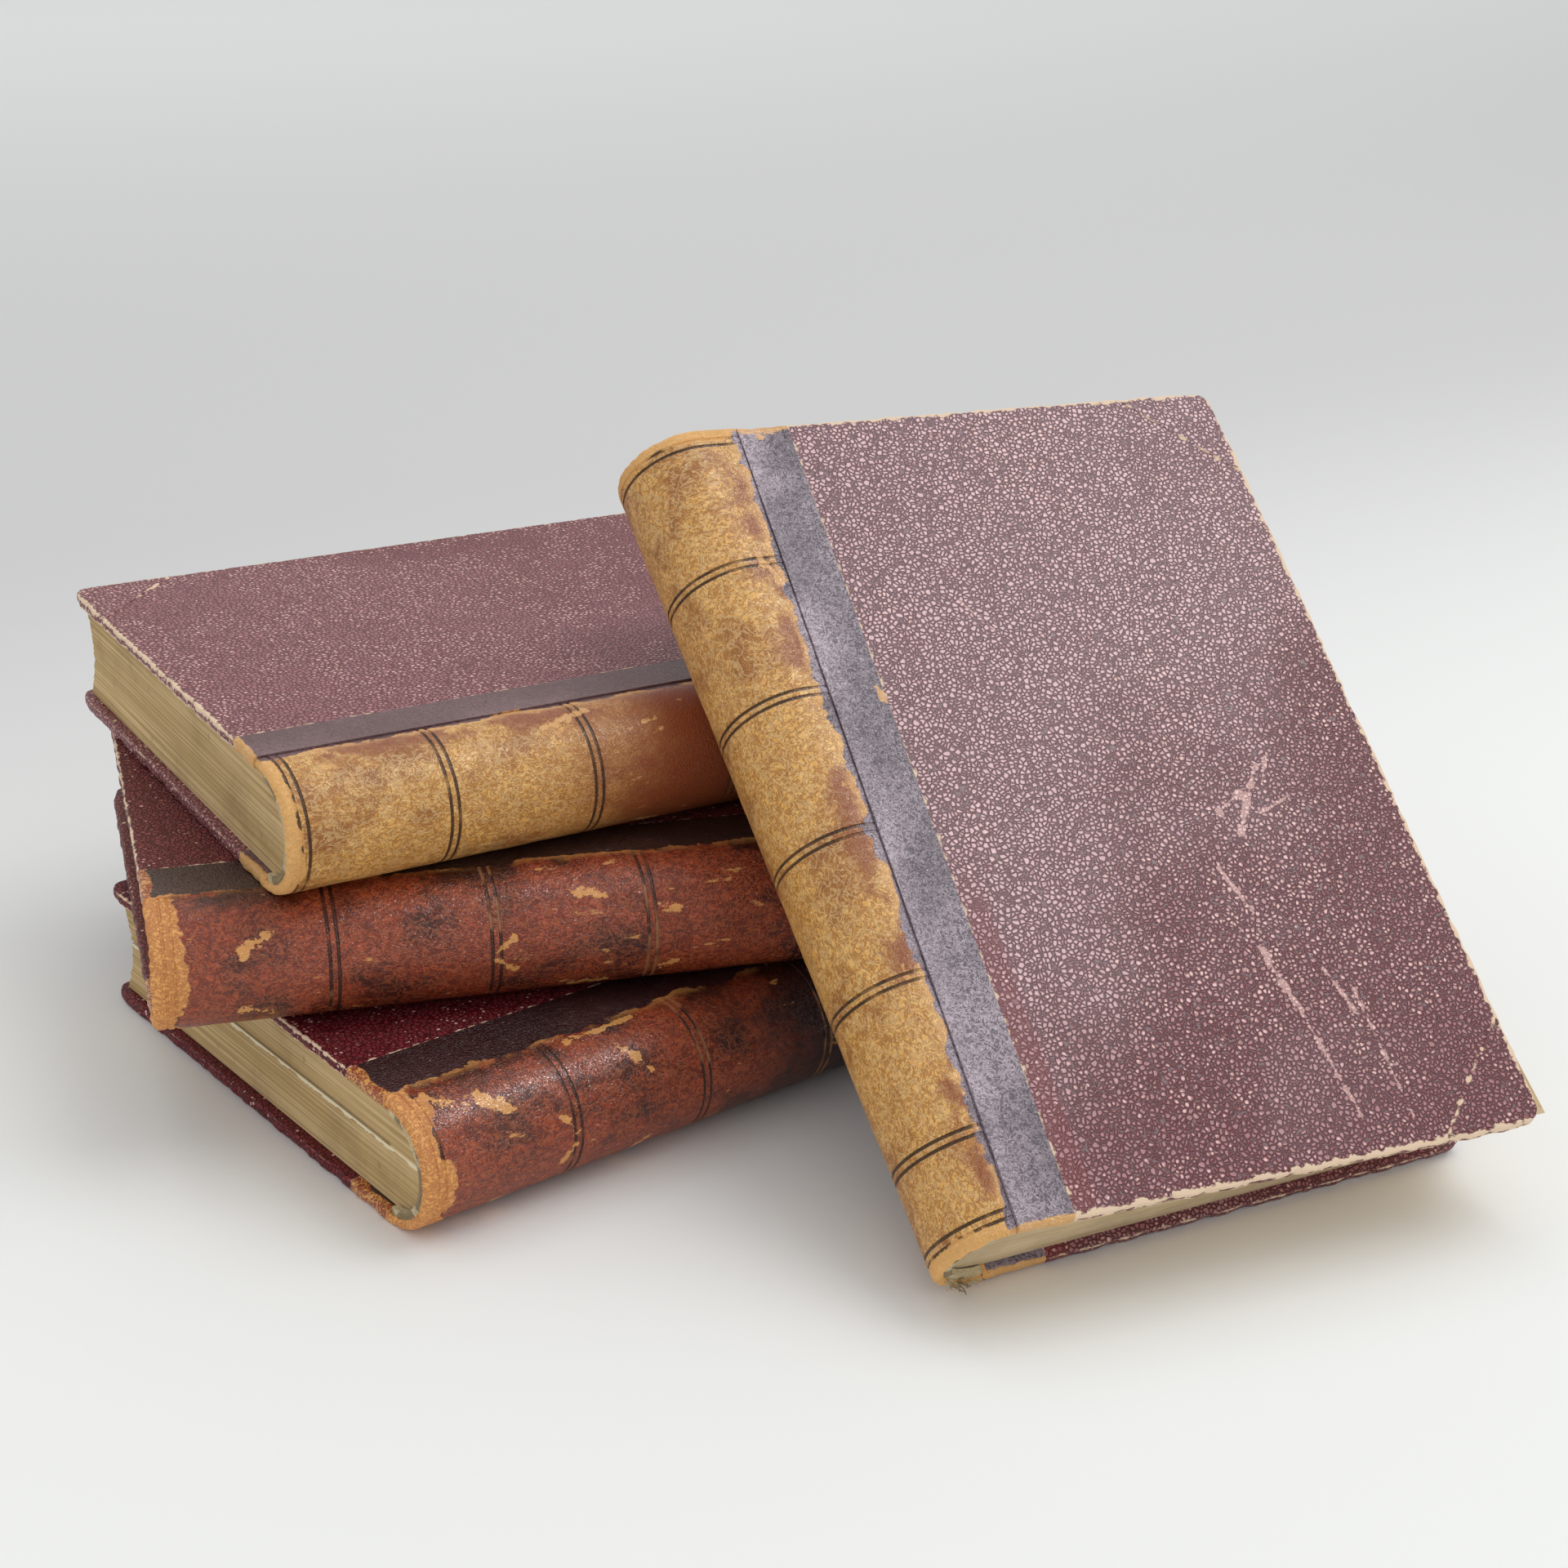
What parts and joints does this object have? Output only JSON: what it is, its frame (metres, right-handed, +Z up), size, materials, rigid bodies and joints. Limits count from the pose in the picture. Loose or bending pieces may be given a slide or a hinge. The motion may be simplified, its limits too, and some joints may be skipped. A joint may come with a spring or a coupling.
{
  "type": "stack of books",
  "caption": "Old half-leather books: three lie flat in a twisted stack and a fourth leans on them; the two upper front covers open.",
  "frame": {"origin": "on the surface that the stack lies on, under the middle of the whole group's bounding box", "axes": "+Z up, +X along the bottom volume's spine from its head to its tail, +Y from the bottom volume's spine to its fore-edge"},
  "size_m": [0.2802, 0.3286, 0.1498],
  "materials": {
    "ochre_leather": "satin",
    "brown_leather": "glossy",
    "maroon_leather": "satin",
    "maroon_cloth": "satin",
    "board": "matte",
    "endpaper": "matte",
    "lining_paper": "matte",
    "sewn_band": "matte",
    "pages": "matte"
  },
  "bodies": {
    "stack": {"bottom_back_board": "board", "bottom_back_cloth": "maroon_cloth", "bottom_back_corners": "maroon_leather", "bottom_back_pastedown": "endpaper", "bottom_front_board": "board", "bottom_front_cloth": "maroon_cloth", "bottom_front_corners": "maroon_leather", "bottom_front_pastedown": "endpaper", "bottom_head_band": "sewn_band", "bottom_spine_leather": "brown_leather", "bottom_spine_lining": "lining_paper", "bottom_tail_band": "sewn_band", "bottom_text_block": "pages", "leaning_back_board": "board", "leaning_back_cloth": "maroon_cloth", "leaning_back_corners": "maroon_leather", "leaning_back_pastedown": "endpaper", "leaning_head_band": "sewn_band", "leaning_spine_leather": "ochre_leather", "leaning_spine_lining": "lining_paper", "leaning_tail_band": "sewn_band", "leaning_text_block": "pages", "middle_back_board": "board", "middle_back_cloth": "maroon_cloth", "middle_back_corners": "maroon_leather", "middle_back_pastedown": "endpaper", "middle_front_board": "board", "middle_front_cloth": "maroon_cloth", "middle_front_corners": "maroon_leather", "middle_front_pastedown": "endpaper", "middle_head_band": "sewn_band", "middle_spine_leather": "brown_leather", "middle_spine_lining": "lining_paper", "middle_tail_band": "sewn_band", "middle_text_block": "pages", "top_back_board": "board", "top_back_cloth": "maroon_cloth", "top_back_corners": "maroon_leather", "top_back_pastedown": "endpaper", "top_head_band": "sewn_band", "top_spine_leather": "ochre_leather", "top_spine_lining": "lining_paper", "top_tail_band": "sewn_band", "top_text_block": "pages"},
    "top_cover": {"top_front_board": "board", "top_front_cloth": "maroon_cloth", "top_front_corners": "maroon_leather", "top_front_leather": "ochre_leather", "top_front_pastedown": "endpaper"},
    "leaning_cover": {"leaning_front_board": "board", "leaning_front_cloth": "maroon_cloth", "leaning_front_corners": "maroon_leather", "leaning_front_leather": "ochre_leather", "leaning_front_pastedown": "endpaper"}
  },
  "joints": [
    {"name": "top_cover_hinge", "type": "hinge", "parent": "stack", "child": "top_cover", "pos_m": [-0.00856, 0.02207, 0.0914], "axis": [0.9907, -0.1357, 0], "range_deg": [0, 38]},
    {"name": "leaning_cover_hinge", "type": "hinge", "parent": "stack", "child": "leaning_cover", "pos_m": [-0.00672, -0.0475, 0.08614], "axis": [-0.2403, -0.7648, -0.5978], "range_deg": [0, 170]}
  ]
}
